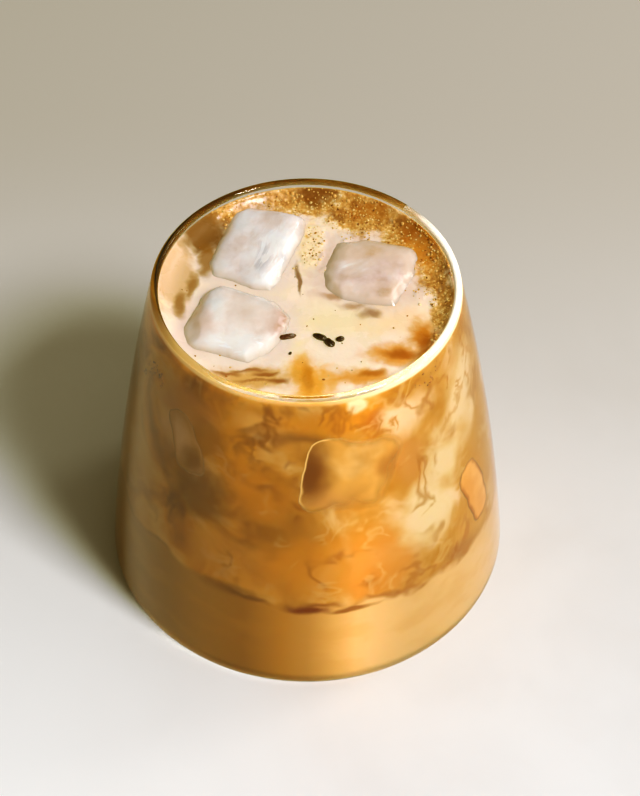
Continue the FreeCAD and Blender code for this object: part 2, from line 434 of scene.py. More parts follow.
def clear_glass():
    material, tree, shader = new_material("clear glass")
    place = tree.place()
    smear = tree.noise(place, 14, 2)
    waves = tree.noise(tree.vector("MULTIPLY", place, (1, 1, 0.35)), 16, 1)
    tree.fill(shader, Base_Color=GLASS_COLOUR, Transmission_Weight=1, IOR=1.45,
              Roughness=tree.between(smear, 0.5, 0.8, 0, 0.03), Normal=tree.bump(waves, 0.3 * MM, 0.2))
    let_lamps_through(material, tree, shader, GLASS_SHADOW)
    return material


def blots(tree, colour, place, torn, patches):
    """Lays ragged blots of colour over a colour: each is (centre, size, edge, colour, strength)."""
    for centre, size, edge, laid, strength in patches:
        mask = tree.group(SOFT_PATCH, Place=place, Centre=centre, Size=size, Edge=edge, Torn=torn)
        colour = tree.mix(tree.times(mask, strength), colour, laid)
    return colour


# What shows through the side of the glass: milk clouds and tea, with two painted highlights and a patch
# of painted shade, about the axis, in millimetres.
SIDE_BLOTS = [
    ((5, -39, 38), (13, 8, 8), 0.5, (226, 150, 50), 0.75),
    ((16, -36, 33), (6, 6, 10), 0.5, (236, 158, 76), 0.7),
    ((-17, -35, 36), (8, 6, 6), 0.5, (192, 134, 62), 0.6),
    ((-39, -8, 45), (9, 16, 40), 0.6, (186, 138, 74), 0.6),
    ((-26.5, -23, 64), (3, 5, 7), 0.6, (206, 160, 122), 0.8),
    ((-22.2, -29, 54), (2.6, 5, 5), 0.6, (200, 152, 112), 0.8),
    ((-15, -30, 66), (8, 8, 10), 0.45, AMBER, 0.95),
    ((-10, -34, 57), (8, 6, 6), 0.5, (206, 134, 34), 0.8),
    ((-24, -23, 71), (6, 6, 5), 0.5, (178, 120, 74), 0.7),
    ((-22, -29, 49), (8, 8, 8), 0.5, (116, 68, 14), 0.85),
    ((-21, -27, 63), (3.5, 6, 7), 0.5, DARK_TEA, 0.6),
    ((-7, -31, 74), (8, 6, 3.6), 0.4, (230, 172, 104), 0.85),
    ((-1, -33, 72), (5, 5, 1.7), 0.5, (142, 86, 30), 0.75),
    ((5, -31, 76), (11, 6, 4), 0.4, ORANGE, 0.95),
    ((14, -30, 72.5), (3.2, 4, 2.4), 0.5, (186, 100, 22), 0.85),
    # Painted highlight where light catches the rim at the front.
    ((10, -31, 79), (2.6, 4, 2.2), 0.3, CREAM, 0.9),
    ((20, -27, 60), (6, 5, 7), 0.5, (224, 158, 96), 0.7),
    ((25, -29, 42), (7, 7, 8.5), 0.5, CREAM, 1),
    # Painted highlight on the right of the drink.
    ((28, -24, 55), (4, 6, 8), 0.45, CREAM, 0.9),
    ((20, -26, 71), (6.5, 6, 4.6), 0.5, PINK_CREAM, 1),
    ((32, -14, 64), (4.5, 7, 9), 0.5, PALE_CREAM, 0.95),
    # Painted shade under the far right sunk cube.
    ((33, -21, 24), (7, 7, 3.2), 0.5, (178, 110, 58), 0.7),
]

# The stain along the line between the two layers.
SEAM_BLOTS = [
    ((0, -41, 24.4), (4.6, 5, 1), 0.6, (134, 54, 10), 1),
    ((-16, -37, 27), (6, 6, 1.6), 0.7, (112, 66, 14), 0.6),
    ((10, -40, 23.5), (5, 6, 0.7), 0.6, (150, 82, 18), 0.9),
]

LAYER_HEIGHT = 25.4  # of the line between the even lower drink and the marbled upper one
LAYER_TILT = -0.09  # its slope towards the right


def drink_side():
    material, tree, shader = new_material("drink through the glass")
    place = tree.place()
    wavy = tree.stirred(tree.stirred(place, 10, 20), 3, 6)
    torn = tree.swing(tree.noise(place, 7, 3, 0.5), 1)
    # From left to right the drink turns from strong tea to creamy, and every colour mixed by this share
    # follows it: partly the drink's own cream, partly painted shade on the left, away from the lamps.
    across = tree.plus(tree.part(place, "X"), tree.times(tree.part(place, "Y"), -0.2))
    milky_and_lit = tree.between(across, -22, 32)

    cloud = tree.noise(tree.vector("MULTIPLY", wavy, (1, 1, 0.8)), 15, 3, 0.5, 0.8)
    strong = tree.ramp(cloud, [(0.34, DARK_TEA), (0.45, TEA), (0.54, (202, 138, 48)),
                               (0.66, (212, 158, 88))])
    creamy = tree.ramp(cloud, [(0.3, AMBER), (0.42, CARAMEL), (0.54, ORANGE_TAN), (0.68, PINK_CREAM),
                               (0.82, PALE_CREAM)])
    colour = tree.mix(milky_and_lit, strong, creamy)
    colour = blots(tree, colour, wavy, torn, SIDE_BLOTS)
    thread = tree.group(VEINS, Place=wavy, Scale=1 / 17, Width=0.05)
    patchy = tree.between(tree.noise(place, 11, 2), 0.44, 0.6)
    patchy = tree.times(patchy, tree.between(milky_and_lit, 0, 0.3, 0.3, 1))
    colour = tree.mix(tree.times(thread, patchy, 0.6), colour,
                      tree.mix(milky_and_lit, (96, 54, 12), (186, 106, 28)))

    curl = tree.group(VEINS, Place=tree.stirred(place, 5, 5), Scale=1 / 9, Width=0.07)
    curl = tree.times(curl, tree.between(tree.noise(place, 6, 2), 0.47, 0.6))
    high = tree.times(tree.between(tree.part(place, "Z"), 52, 70), tree.between(milky_and_lit, 0.02, 0.3))
    colour = tree.mix(tree.times(curl, tree.times(high, 0.7)), colour,
                      tree.mix(milky_and_lit, (110, 66, 18), (198, 118, 32)))
    wisp = tree.group(VEINS, Place=tree.stirred(place, 7, 11), Scale=1 / 12, Width=0.05)
    wisp = tree.times(wisp, tree.between(tree.noise(place, 8, 2), 0.5, 0.62), 0.3)
    colour = tree.mix(wisp, colour, tree.mix(milky_and_lit, (196, 148, 100), (250, 216, 164)))

    line = tree.plus(tree.times(tree.part(place, "X"), LAYER_TILT), LAYER_HEIGHT)
    wobble = tree.swing(tree.noise(place, 15, 3), 11)
    above = tree.minus(tree.part(place, "Z"), tree.plus(line, wobble))
    # The settled lower layer is an even tan; its ramp from left to right adds painted shade, darker
    # towards the left and paler towards the right.
    settled = tree.ramp(milky_and_lit, [(0, (172, 122, 60)), (0.22, (162, 108, 42)),
                                (0.45, (202, 140, 60)), (0.62, (228, 168, 98)),
                                (0.9, (250, 204, 148))])
    drift = tree.noise(tree.vector("MULTIPLY", wavy, (1, 1, 2.2)), 12, 3)
    settled = tree.mix(tree.between(drift, 0.42, 0.68, 0, 0.2), settled, CARAMEL)
    colour = tree.mix(tree.between(above, 1, -0.8), colour, settled)
    seam = tree.times(tree.between(tree.math("ABSOLUTE", above), 1.3, 0),
                      tree.between(tree.noise(place, 8, 2), 0.4, 0.6, 0.1, 0.9),
                      tree.between(milky_and_lit, 0, 0.25, 0.35, 1))
    colour = tree.mix(seam, colour, tree.mix(milky_and_lit, (104, 62, 14), (176, 98, 26)))
    colour = blots(tree, colour, tree.stirred(place, 2.4, 6), torn, SEAM_BLOTS)
    # Painted shade: the drink is made darker across its middle, and darkest at the far right edge, by its
    # place from left to right.
    depth = tree.ramp(milky_and_lit, [(0, dimmed(1)), (0.12, dimmed(0.88)), (0.45, dimmed(0.72)),
                              (0.6, dimmed(0.63)), (0.85, dimmed(0.88)), (1, dimmed(0.56))])
    colour = tree.mix(1, colour, depth, "MULTIPLY")
    # The band where the drink meets the glass at its top and at the back: a pale milk line with painted
    # light, paler towards the right as a painted highlight and darker towards the left as painted shade.
    height = tree.part(place, "Z")
    back = tree.between(tree.part(place, "Y"), 2, 16)
    top_line = tree.math("MAXIMUM", tree.between(height, SURFACE + 1.4, SURFACE + 2.2),
                         tree.times(back, tree.between(height, SURFACE - 1, SURFACE + 0.6)))
    colour = tree.mix(top_line, colour, tree.ramp(milky_and_lit, [
        (0.1, (188, 156, 114)), (0.6, (200, 152, 94)), (0.97, (240, 216, 176))]))
    tree.fill(shader, Base_Color=colour, Roughness=0.5, Specular_IOR_Level=0, Subsurface_Weight=0.4,
              Subsurface_Radius=(1, 0.5, 0.2), Subsurface_Scale=2.5 * MM)
    return material


BLOT_HEIGHT = 78  # of the middle of every blot on the surface
BLOT_DEPTH = 9

# Where froth lies on the surface: east, north, and its reach each way, in millimetres.
FROTH = [
    (3, 30, 19, 5.2), (-17, 27, 6, 4), (22, 19, 6.5, 7), (27.5, 8, 4, 7), (29, -3, 2.6, 8),
    (1, 16, 2.8, 6.5), (12, 24, 8, 5),
]


def surface_blots(*rows):
    """Blots on the surface, from rows of east, north, reach each way, edge, colour and strength."""
    return [((east, north, BLOT_HEIGHT), (across, along, BLOT_DEPTH), edge, colour, strength)
            for east, north, across, along, edge, colour, strength in rows]


# Stains and bare drink on the surface, with painted shadows along the edges of the cubes and in the gap
# between two of them.
TOP_BLOTS = surface_blots(
    (13, 7, 12.5, 12, 0.35, (222, 196, 178), 0.85),
    (-9.5, 28, 9, 4, 0.5, (216, 196, 180), 0.7),
    (-25, -9, 4, 8, 0.5, (228, 206, 192), 0.8),
    (-14, -20, 9, 3.6, 0.5, (232, 216, 200), 0.7),
    (7, -6, 8, 5, 0.6, (236, 218, 180), 0.8),
    (20, -7, 7, 4.5, 0.6, (240, 210, 172), 0.8),
    (-28, 6, 4.2, 10, 0.4, (210, 176, 142), 0.95),
    # Painted shadow: two dark lines along the left edge of the front left cube.
    (-24.2, 3.6, 1.2, 3.2, 0.6, (150, 106, 58), 0.85),
    (-26.4, -1.8, 1.2, 3.4, 0.6, (150, 106, 60), 0.85),
    (-22, 19, 4.8, 4.8, 0.45, (120, 76, 24), 0.95),
    (-21.6, 11, 1.8, 4.5, 0.5, (146, 100, 46), 0.85),
    (-18.5, 24, 3, 2.6, 0.5, (146, 92, 32), 0.85),
    # Painted shadow in the narrow gap between the back left and right cubes.
    (-1.6, 5.2, 0.55, 4.6, 0.5, (126, 80, 58), 0.85),
    # Painted shadow: three soft lines along the front left edge of the right cube.
    (6, 0.4, 2.4, 1, 0.7, (170, 126, 108), 0.75),
    (10, -2.2, 3, 0.9, 0.7, (164, 120, 104), 0.7),
    (13.6, -4.3, 2.2, 1.2, 0.7, (150, 106, 92), 0.8),
    (19, -16.4, 6.4, 2.9, 0.6, (214, 140, 52), 0.9),
    (24.5, -11.5, 3.6, 4.2, 0.6, (200, 124, 38), 0.95),
    (20, -16, 3.6, 1.1, 0.7, (168, 92, 20), 0.9),
    (24.6, -12.6, 1.6, 2.2, 0.7, (160, 88, 22), 0.8),
    (11.5, -22.3, 5.4, 2.2, 0.6, (214, 142, 50), 0.9),
    (13.2, -21.4, 2.6, 0.8, 0.7, (176, 102, 26), 0.8),
    (-1, -20, 3.4, 3.2, 0.6, (224, 158, 62), 0.85),
    (1.5, -25, 4.2, 4.6, 0.6, (226, 158, 56), 0.9),
    (0.6, -22.5, 1, 3.4, 0.7, (186, 112, 22), 0.6),
    (-11, -22.8, 8, 2.7, 0.5, (206, 158, 100), 0.9),
    (-16, -21.4, 2.6, 0.45, 0.7, (152, 92, 52), 0.85),
    (-12, -20.7, 2.8, 0.4, 0.7, (150, 90, 50), 0.85),
    (-8.2, -21.6, 2.4, 0.45, 0.7, (148, 88, 48), 0.85),
    (-5.6, -23.2, 1.8, 0.6, 0.7, (142, 80, 40), 0.85),
    (-10.5, -23, 3.4, 0.35, 0.7, (160, 104, 60), 0.7)
)

# Spice soaked into the froth.
FROTH_BLOTS = surface_blots(
    (2, 30.6, 4.6, 2.6, 0.5, (118, 68, 24), 0.85),
    (25, 14, 4.5, 6, 0.6, (206, 134, 56), 0.8),
    (23, 19, 3, 3, 0.6, (160, 92, 30), 0.7),
    (14, 26, 5, 2.4, 0.6, (176, 108, 44), 0.6)
)


def drink_top():
    material, tree, shader = new_material("drink surface")
    place = tree.place()
    wavy = tree.stirred(tree.stirred(place, 4, 8), 1.2, 2.4)
    torn = tree.swing(tree.noise(place, 2.6, 5, 0.65), 1.5)
    swirled = tree.swing(tree.noise(wavy, 3.6, 2.5, 0.5), 1.4)
    cloud = tree.noise(wavy, 9, 4, 0.55)
    colour = tree.ramp(cloud, [(0.36, SURFACE_BUTTER), (0.5, SURFACE_CREAM), (0.64, SURFACE_PALE)])
    from_ice = tree.attribute("from_ice")
    from_ice = tree.plus(from_ice, tree.swing(tree.noise(place, 4, 3), 2))
    colour = tree.mix(tree.between(from_ice, 3.4, 0.4, 0, 0.9), colour, (226, 208, 194))
    colour = blots(tree, colour, wavy, swirled, TOP_BLOTS)

    froth = None
    for east, north, across, along in FROTH:
        patch = tree.group(SOFT_PATCH, Place=wavy, Centre=(east, north, SURFACE), Edge=0.3, Torn=torn,
                           Size=(across, along, BLOT_DEPTH))
        froth = patch if froth is None else tree.math("MAXIMUM", froth, patch)
    colour = tree.mix(tree.times(froth, 0.95), colour, tree.group(FROTH_COLOUR, Place=place))
    colour = blots(tree, colour, wavy, torn, FROTH_BLOTS)
    tree.fill(shader, Base_Color=colour, Roughness=tree.between(cloud, 0.35, 0.65, 0.22, 0.38),
              Specular_IOR_Level=0.3, Subsurface_Weight=0.3, Subsurface_Radius=(1, 0.6, 0.3),
              Subsurface_Scale=1.5 * MM, Normal=tree.bump(tree.noise(place, 2.2, 3), 0.3 * MM, 0.4))
    return material


HIGHLIGHT_AND_CRACK_WHITE = (255, 253, 250)


def cloudy_ice(name, look):
    """Floating ice: a milk-white heart under a glassy wet skin, stained by the drink near the waterline,
    with a painted highlight over its own white cracks.
    """
    material, tree, shader = new_material(name)
    place = tree.place()
    wavy = tree.stirred(place, 3, 7)
    frost = tree.noise(wavy, 6.5, 4, 0.55)
    colour = tree.ramp(frost, [(0.34, look["shade"]), (0.5, look["core"]), (0.66, look["light"])])
    spun = tree.node("ShaderNodeMapping", {"vector_type": "TEXTURE"}, Vector=wavy,
                     Rotation=(0, 0, radians(look["grain"])), Scale=(5, 1, 3)).outputs[0]
    cracks = tree.noise(spun, 1.5, 3, 0.6)
    streak = tree.between(cracks, 0.5, 0.6)
    colour = blots(tree, colour, wavy, tree.swing(frost, 1), look["marks"])
    # Painted highlight: a near-white patch where the ice faces the lamps, strongest along its own white
    # cracks (streak).
    near = tree.group(SOFT_PATCH, Place=place, Centre=look["highlight_and_cracks"], Size=look["highlight_and_cracks_size"], Edge=0.6,
                      Torn=tree.swing(cracks, 1.6))
    colour = tree.mix(tree.times(near, tree.plus(0.35, streak)), colour, HIGHLIGHT_AND_CRACK_WHITE)
    height = tree.minus(tree.part(place, "Z"), SURFACE)
    ragged = tree.minus(height, tree.times(tree.noise(place, 3.2, 4), look["film"]))
    colour = tree.mix(tree.between(ragged, 1, -0.1, 0, 0.85), colour, look["stain"])
    skin = tree.bump(tree.noise(place, 4, 3), 0.45 * MM, 0.45)
    tree.fill(shader, Base_Color=colour, Roughness=tree.between(frost, 0.3, 0.7, 0.08, 0.25), IOR=1.31,
              Transmission_Weight=0.2, Subsurface_Weight=0.75, Subsurface_Radius=(1, 0.85, 0.75),
              Subsurface_Scale=4.5 * MM, Coat_Weight=0.7, Coat_Roughness=0.04, Normal=skin)
    return material


def rim_highlight_film():
    """Painted highlight: a pale film on the right of the rim standing for light caught by the glass,
    ragged and fading towards the ends of its run.
    """
    material, tree, shader = new_material("painted rim highlight")
    place = tree.place()
    right = tree.group(SOFT_PATCH, Place=place, Centre=(31, 3, 81), Size=(13, 22, 30), Edge=0.5,
                       Torn=tree.swing(tree.noise(place, 5, 4, 0.6), 0.7))
    tree.fill(shader, Base_Color=(252, 246, 232), Roughness=0.4, Alpha=tree.times(right, 0.9))
    let_lamps_through(material, tree, shader, FILM_SHADOW)
    return material


def bubble_film():
    material, tree, shader = new_material("bubble film")
    place = tree.place()
    tone = tree.noise(place, 1.6, 2)
    own = tree.ramp(tone, [(0.35, (196, 148, 96)), (0.5, (214, 174, 124)),
                           (0.65, (236, 206, 164))])
    colour = tree.mix(0.6, tree.group(FROTH_COLOUR, Place=place, Lift=0.1), own)
    tree.fill(shader, Base_Color=colour, IOR=1.3, Roughness=0.35, Specular_IOR_Level=0.25,
              Subsurface_Weight=0.5, Subsurface_Radius=(1, 0.7, 0.4), Subsurface_Scale=0.6 * MM)
    return material


def ground_spice():
    material, tree, shader = new_material("ground spice")
    colour = tree.ramp(tree.noise(tree.place(), 1.3, 1), [
        (0.35, (98, 54, 22)), (0.5, (140, 82, 34)), (0.65, (178, 112, 52))])
    tree.fill(shader, Base_Color=colour, Roughness=0.55)
    return material


def dark_seed(name, low, middle, high):
    material, tree, shader = new_material(name)
    wrinkle = tree.noise(tree.place(), 0.45, 3, 0.6)
    colour = tree.ramp(wrinkle, [(0.35, low), (0.55, middle), (0.75, high)])
    tree.fill(shader, Base_Color=colour, Roughness=0.32, Normal=tree.bump(wrinkle, 0.12 * MM, 0.7))
    return material


def pale_floor():
    material, tree, shader = new_material("pale floor")
    place = tree.place()
    cloud = tree.noise(tree.stirred(place, 60, 90), 70, 4, 0.55)
    colour = tree.mix(tree.between(cloud, 0.4, 0.7), (226, 228, 231), (218, 219, 221))
    # Painted light and shade: the floor is made paler towards the left, and darker towards the back.
    left = tree.between(tree.part(place, "X"), 30, -70, 0, 0.85)
    colour = tree.mix(left, colour, (246, 248, 250))
    far = tree.between(tree.part(place, "Y"), -90, 150)
    colour = tree.mix(far, colour, (192, 187, 180))
    tree.fill(shader, Base_Color=colour, Roughness=0.45)
    return material


# ---- ice

def cad_copy(node):
    """A CAD node's mesh as one closed bmesh."""
    bm = bmesh.new()
    bm.from_mesh(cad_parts[node].data)
    bmesh.ops.remove_doubles(bm, verts=bm.verts[:], dist=1e-6)
    return bm


def cut_facet(bm, point, facing):
    """Slices a closed mesh flat at a plane, given in millimetres, and closes the cut."""
    cut = bmesh.ops.bisect_plane(bm, geom=bm.verts[:] + bm.edges[:] + bm.faces[:], dist=1e-7,
                                 plane_co=Vector(point) * MM, plane_no=Vector(facing).normalized(),
                                 clear_outer=True)
    rim = [e for e in cut["geom_cut"] if isinstance(e, bmesh.types.BMEdge)]
    bmesh.ops.holes_fill(bm, edges=rim, sides=0)


def remeshed(bm, cell):
    """The same closed shape in even small faces, cell millimetres across."""
    holder = to_piece(bm, "remesh holder", [])
    modifier = holder.modifiers.new("even faces", "REMESH")
    modifier.mode = "VOXEL"
    modifier.voxel_size = cell * MM
    graph = bpy.context.evaluated_depsgraph_get()
    mesh = bpy.data.meshes.new_from_object(holder.evaluated_get(graph))
    even = bmesh.new()
    even.from_mesh(mesh)
    old = holder.data
    bpy.data.objects.remove(holder)
    bpy.data.meshes.remove(old)
    bpy.data.meshes.remove(mesh)
    return even


def melt(bm, depth, size, shift):
    """Wears a surface unevenly: every point moves in along its normal by up to depth millimetres."""
    bm.normal_update()
    moves = []
    for vert in bm.verts:
        spot = vert.co / (size * MM) + Vector((shift, 0, 0))
        worn = 0.5 + 0.5 * noise.fractal(spot, 0.9, 2, 3)
        moves.append(vert.normal * -(depth * MM * min(max(worn, 0), 1)))
    for vert, move in zip(bm.verts, moves):
        vert.co += move


FACETS = {
    # flat faces on top: a point of each, and the way it faces
    "ice_back_left": [((-5, 12.5, 79.6), (0.50, -0.30, 0.82)),
                      ((-12, 4.6, 79.6), (-0.1, -0.55, 0.85))],
    "ice_front_left": [((-15, -16.4, 79.5), (0.08, -0.42, 0.9))],
    "ice_right": [((14, 0.4, 79.3), (0.05, -0.35, 0.94))],
}
CHIPS = 9  # flat spots worn on each cube's rounded corners
SWELL = {
    # how much fuller east and north, and how far moved east, north and up, before it is worn
    "ice_back_left": ((1.05, 1.08), (0.3, 0.8, 0.3)),
    "ice_front_left": ((1.08, 1.09), (0, 1.1, 0.4)),
    "ice_right": ((1.10, 1.12), (0.2, 0.3, 0.15)),
}
ICE_CLEAR = 0.3  # kept between a floating cube and the glass
MELTS = [(0.4, 6, 0), (0.14, 1.8, 5)]  # how deep a cube is worn, how broad the hollows, and their place


def hold_inside(vert, inset):
    """Moves a point in to the wall where it lies past it, and says how far past it lay."""
    radius = hypot(vert.co.x, vert.co.y) / MM
    limit = wall_radius(vert.co.z / MM, inset)
    if radius > limit:
        vert.co.x *= limit / radius
        vert.co.y *= limit / radius
    return radius - limit


def swell(bm, node):
    """Fills a cube out a little, to leave it its size once it is worn, and keeps it in the glass."""
    low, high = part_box(node)
    middle = (Vector(low) + Vector(high)) / 2
    (east, north), shift = SWELL[node]
    for vert in bm.verts:
        vert.co.x = middle.x + (vert.co.x - middle.x) * east + shift[0] * MM
        vert.co.y = middle.y + (vert.co.y - middle.y) * north + shift[1] * MM
        vert.co.z += shift[2] * MM
        hold_inside(vert, WALL + ICE_CLEAR)


def chip(bm, dice):
    """Wears small flat spots on the upper corners of a cube."""
    for _ in range(CHIPS):
        around = dice.uniform(0, 2 * pi)
        facing = Vector((cos(around), sin(around), dice.uniform(0.5, 1.6))).normalized()
        most = max(bm.verts, key=lambda vert: vert.co.dot(facing))
        cut_facet(bm, most.co / MM - facing * dice.uniform(0.3, 0.8), facing)


def make_cube(node, number):
    """The melted shape of one floating cube."""
    bm = cad_copy(node)
    for point, facing in FACETS[node]:
        cut_facet(bm, point, facing)
    chip(bm, random.Random(SEED + 10 + number))
    bm = remeshed(bm, CUBE_CELL)
    for _ in range(2):
        bmesh.ops.smooth_vert(bm, verts=bm.verts[:], factor=0.5, use_axis_x=True, use_axis_y=True,
                              use_axis_z=True)
    swell(bm, node)
    for depth, size, shift in MELTS:
        melt(bm, depth, size, 10 * number + shift)
    bmesh.ops.recalc_face_normals(bm, faces=bm.faces[:])
    return bm


# ---- the drink

def drink_profile():
    """(radius, height) up the side of the drink and in over its surface, to the axis."""
    inset = WALL - BITE
    bottom = FLOOR - FOOT_BITE
    corner_height = bottom + FOOT_ROUND
    corner = (wall_radius(corner_height, inset + FOOT_ROUND), corner_height)
    wet = SURFACE + RISE
    points = [(0, bottom)] + straight((0, bottom), (corner[0], bottom), 10)
    points += arc(corner, FOOT_ROUND, -90, lean_at(corner_height), 8)
    points += wall_run(corner_height, wet, inset, 30)
    edge = wall_radius(wet, inset)
    top_middle = wall_radius(wet, WALL) - sqrt(RISE_CURVE**2 - (RISE_CURVE - RISE) ** 2)
    climb_end = degrees(asin((RISE - RISE_CURVE) / RISE_CURVE))
    climb = arc((top_middle, SURFACE + RISE_CURVE), RISE_CURVE, climb_end, -90, 8)
    flat = [(top_middle * (1 - k / SURFACE_RINGS), SURFACE) for k in range(1, SURFACE_RINGS + 1)]
    return points + [(edge, wet)] + climb + flat


def froth_at(east, north):
    """How frothy the surface is at a place, 0 to 1."""
    torn = 1.1 * noise.fractal(Vector((east, north, 3)) / 3.5, 0.8, 2, 4)
    most = 0
    for middle_east, middle_north, across, along in FROTH:
        far = hypot((east - middle_east) / across, (north - middle_north) / along) + torn
        most = max(most, (1.25 - far) / 0.5)
    return min(max(most, 0), 1)


def surface_height(trees, east, north, base):
    """The height of the drink at a place, with its climb up the ice, its froth and its ripples."""
    height = base + 0.1 * noise.noise(Vector((east, north, 0)) / 6)
    froth = froth_at(east, north)
    if froth > 0:
        cells = noise.voronoi(Vector((east, north, 7)) / 1.25)[0][0]
        height += froth * (0.3 - 0.25 * min(cells, 0.8))
    for tree in trees:
        near = tree.find_nearest(at(east, north, SURFACE), 4 * MM)[3]
        if near is not None:
            height += CLING * exp(-near / MM / CLING_REACH)
    return height


def ice_distance(trees, place):
    """How far the nearest floating cube is from a place, up to ICE_FAR."""
    found = [tree.find_nearest(place, ICE_FAR * MM)[3] for tree in trees]
    return min([far / MM for far in found if far is not None] + [ICE_FAR])


EDGE_FADE = 1.2  # the surface evens out over this much before it meets the glass


def make_drink(cubes, materials):
    bm = bmesh.new()
    spin_profile(bm, drink_profile(), TURNS)
    top_radius = wall_radius(SURFACE + RISE, WALL)
    from_ice = bm.verts.layers.float.new("from_ice")
    for vert in bm.verts:
        east, north, height = vert.co / MM
        radius = hypot(east, north)
        if height > SURFACE - 0.01 and radius < top_radius + 0.01:
            fade = min(max((top_radius - radius) / EDGE_FADE, 0), 1)
            moved = surface_height(cubes, east, north, height)
            vert.co.z = (height + (moved - height) * fade) * MM
            vert[from_ice] = ice_distance(cubes, vert.co)
        else:
            vert[from_ice] = ICE_FAR
    for face in bm.faces:
        middle = face.calc_center_median() / MM
        inside = hypot(middle.x, middle.y) < top_radius - 0.02
        face.material_index = 1 if inside and middle.z > SURFACE - 2 else 0
    return to_piece(bm, "chai_drink", materials)


def make_painted_rim_highlight(material):
    """A thin pale film under the lip's skin along the right of the rim: a painted highlight."""
    top = TALL - LIP
    outer = arc((wall_radius(top, LIP), top), LIP - FILM_DEPTH, 20, 90, 8)
    inner = arc((wall_radius(top, WALL - LIP), top), LIP - FILM_DEPTH, 90, 190, 10)
    profile = outer + inner + [(wall_radius(z, WALL - FILM_DEPTH), z) for z in FILM_DROP]
    bm = bmesh.new()
    verts = [bm.verts.new((r * MM, 0, z * MM)) for r, z in profile]
    edges = [bm.edges.new(pair) for pair in zip(verts, verts[1:])]
    first, last = FILM_RUN
    bmesh.ops.rotate(bm, verts=verts, cent=(0, 0, 0),
                     matrix=Matrix.Rotation(radians(first - 90), 3, "Z"))
    bmesh.ops.spin(bm, geom=verts + edges, cent=(0, 0, 0), axis=(0, 0, 1), steps=FILM_TURNS,
                   use_merge=False, angle=radians(last - first))
    bmesh.ops.recalc_face_normals(bm, faces=bm.faces[:])
    return to_piece(bm, "painted_rim_highlight", [material])


# ---- ice sunk against the glass

SUNK_ICE = {
    # angle round from the front, height, width, depth, tall, yaw, pitch, roll
    "sunk_ice_middle": (15, 59, 24, 20, 25, 4, 2, 14),
    "sunk_ice_left": (-44, 60, 15, 16, 22, -6, -2, -22),
    "sunk_ice_far_right": (65, 35, 15, 14, 27, 4, 0, -14),
    "sunk_ice_back": (168, 56, 21, 20, 19, 8, 5, 14),
    "sunk_ice_back_left": (-122, 50, 18, 18, 20, -6, 4, -12),
    "sunk_ice_back_right": (118, 57, 17, 18, 18, 5, 4, 20),
}
SUNK_ROUND = 7
SUNK_INSET = WALL - BITE - 0.06  # just outside the drink's own side, so that they show
SUNK_SHOWS = 1.9  # how far a sunk cube stands through the drink's side before it is pressed back


def make_sunk(shape, shift):
    """A cube pressed against the inside of the glass, with how hard each point is pressed."""
    angle, height, width, depth, tall, yaw, pitch, roll = shape
    bm = bmesh.new()
    bmesh.ops.create_cube(bm, size=1)
    bmesh.ops.scale(bm, vec=(width * MM, depth * MM, tall * MM), verts=bm.verts[:])
    bmesh.ops.bevel(bm, geom=bm.edges[:], offset=SUNK_ROUND * MM, offset_type="OFFSET", affect="EDGES",
                    segments=5, profile=0.5, material=-1, clamp_overlap=True)
    bm = remeshed(bm, SUNK_CELL)
    melt(bm, 0.9, 9, shift)
    lean = degrees(atan2(FOOT_RADIUS - RIM_RADIUS, TALL))
    turned = Matrix.Rotation(radians(angle), 3, "Z") @ Matrix.Rotation(radians(-lean), 3, "X")
    turned = turned @ Euler([radians(a) for a in (pitch, roll, yaw)]).to_matrix()
    around = radians(angle - 90)
    reach = wall_radius(height, WALL - BITE) + SUNK_SHOWS - depth / 2
    middle = round_axis(reach, around, height) * MM
    bmesh.ops.transform(bm, verts=bm.verts[:], matrix=Matrix.Translation(middle) @ turned.to_4x4())
    pressed = bm.verts.layers.float.new("pressed")
    for vert in bm.verts:
        vert[pressed] = hold_inside(vert, SUNK_INSET)
    bmesh.ops.recalc_face_normals(bm, faces=bm.faces[:])
    return bm


# What shows in each sunk cube: its body, its paler body, its outline (pale where it is a painted
# highlight, dark where it is painted shade), where that is sharp, its blots.
SUNK_LOOKS = {
    "sunk_ice_middle": ((206, 152, 84), (218, 172, 116), (250, 206, 144), (-3, -34, 66), [
        # Painted shade: the dark tea seen in shadow through the left of the cube.
        ((1.2, -35, 62), (3.8, 5, 8), 0.7, (112, 60, 16), 1),
        ((6, -35, 54), (5, 5, 4), 0.7, (196, 138, 88), 0.7),
        ((13, -33, 57), (6, 5, 4), 0.7, (226, 170, 98), 0.8),
        ((17, -31, 61), (2.2, 4, 3), 0.7, (176, 112, 52), 0.8),
        ((8, -36, 51), (8, 5, 2), 0.6, (200, 144, 52), 0.8),
    ]),
    "sunk_ice_left": ((172, 122, 68), (190, 142, 98), (186, 136, 90), (-26, -25, 66), [
        ((-26, -24, 62), (2.2, 3, 5), 0.7, (214, 166, 132), 0.9),
        ((-22, -29, 54), (1.8, 3, 3.5), 0.7, (206, 158, 122), 0.9),
        ((-23, -27, 58), (2.6, 3, 3), 0.7, (128, 78, 28), 0.8),
    ]),
    "sunk_ice_far_right": ((196, 134, 68), (206, 150, 86), (150, 84, 30), (36, -16, 34), []),
    "sunk_ice_back": ((196, 142, 78), (214, 168, 108), (236, 194, 138), (-8, 36, 64), []),
    "sunk_ice_back_left": ((170, 116, 52), (190, 140, 82), (208, 160, 106), (-30, 22, 56), []),
    "sunk_ice_back_right": ((206, 148, 82), (222, 174, 114), (240, 202, 150), (30, 20, 62), []),
}
SUNK_EDGE = (9, 9, 13)  # how far along a sunk cube's outline the sharp part runs


